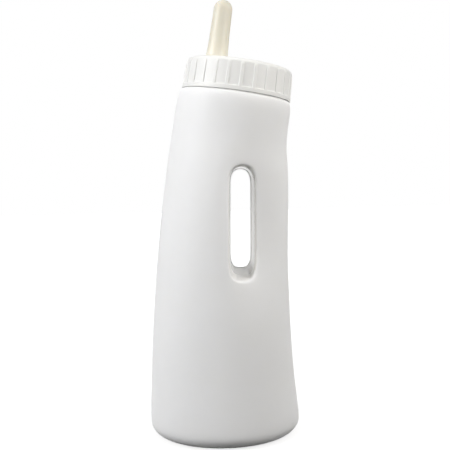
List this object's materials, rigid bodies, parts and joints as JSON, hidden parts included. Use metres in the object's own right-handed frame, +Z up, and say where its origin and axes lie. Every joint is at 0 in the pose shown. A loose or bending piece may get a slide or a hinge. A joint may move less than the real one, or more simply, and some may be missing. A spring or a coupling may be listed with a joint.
{
  "type": "lamb feeding bottle",
  "caption": "Tall tapered milk bottle for lambs with a through handle slot, a leaning wide neck, a ribbed screw cap and an off-centre rubber teat.",
  "frame": {"origin": "middle of the base, in the plane that the bottle stands on", "axes": "+Z up, +X towards the grip and the side that the neck leans to, the handle slot runs through along Y"},
  "size_m": [0.119, 0.119, 0.3389],
  "materials": {
    "natural_polyethylene": "milky translucent, satin blow-moulded skin",
    "white_polypropylene": "white moulded, satin gloss",
    "cream_rubber": "soft cream rubber, slightly waxy",
    "grey_seal_rubber": "matt soft rubber",
    "stainless_steel": "polished ball"
  },
  "bodies": {
    "bottle": {"bottle_body": "natural_polyethylene"},
    "gasket": {"cap_gasket": "grey_seal_rubber"},
    "cap": {"screw_cap": "white_polypropylene", "teat": "cream_rubber", "vent_cage": "white_polypropylene"},
    "ball": {"vent_ball": "stainless_steel"}
  },
  "joints": [
    {"name": "cap_lift", "type": "slide", "parent": "bottle", "child": "gasket", "axis": [0.1564, 0, 0.9877], "range_m": [0, 0.0225]},
    {"name": "cap_turn", "type": "hinge", "parent": "gasket", "child": "cap", "pos_m": [0.0147, 0, 0.2655], "axis": [0.1564, 0, 0.9877], "range_deg": [0, 1260]},
    {"name": "vent_ball_rise", "type": "slide", "parent": "cap", "child": "ball", "axis": [0.1564, 0, 0.9877], "range_m": [0, 0.0012]}
  ],
  "couplings": [
    {"joint": "cap_lift", "follows": "cap_turn", "m_per_rad": 0.0010186}
  ]
}
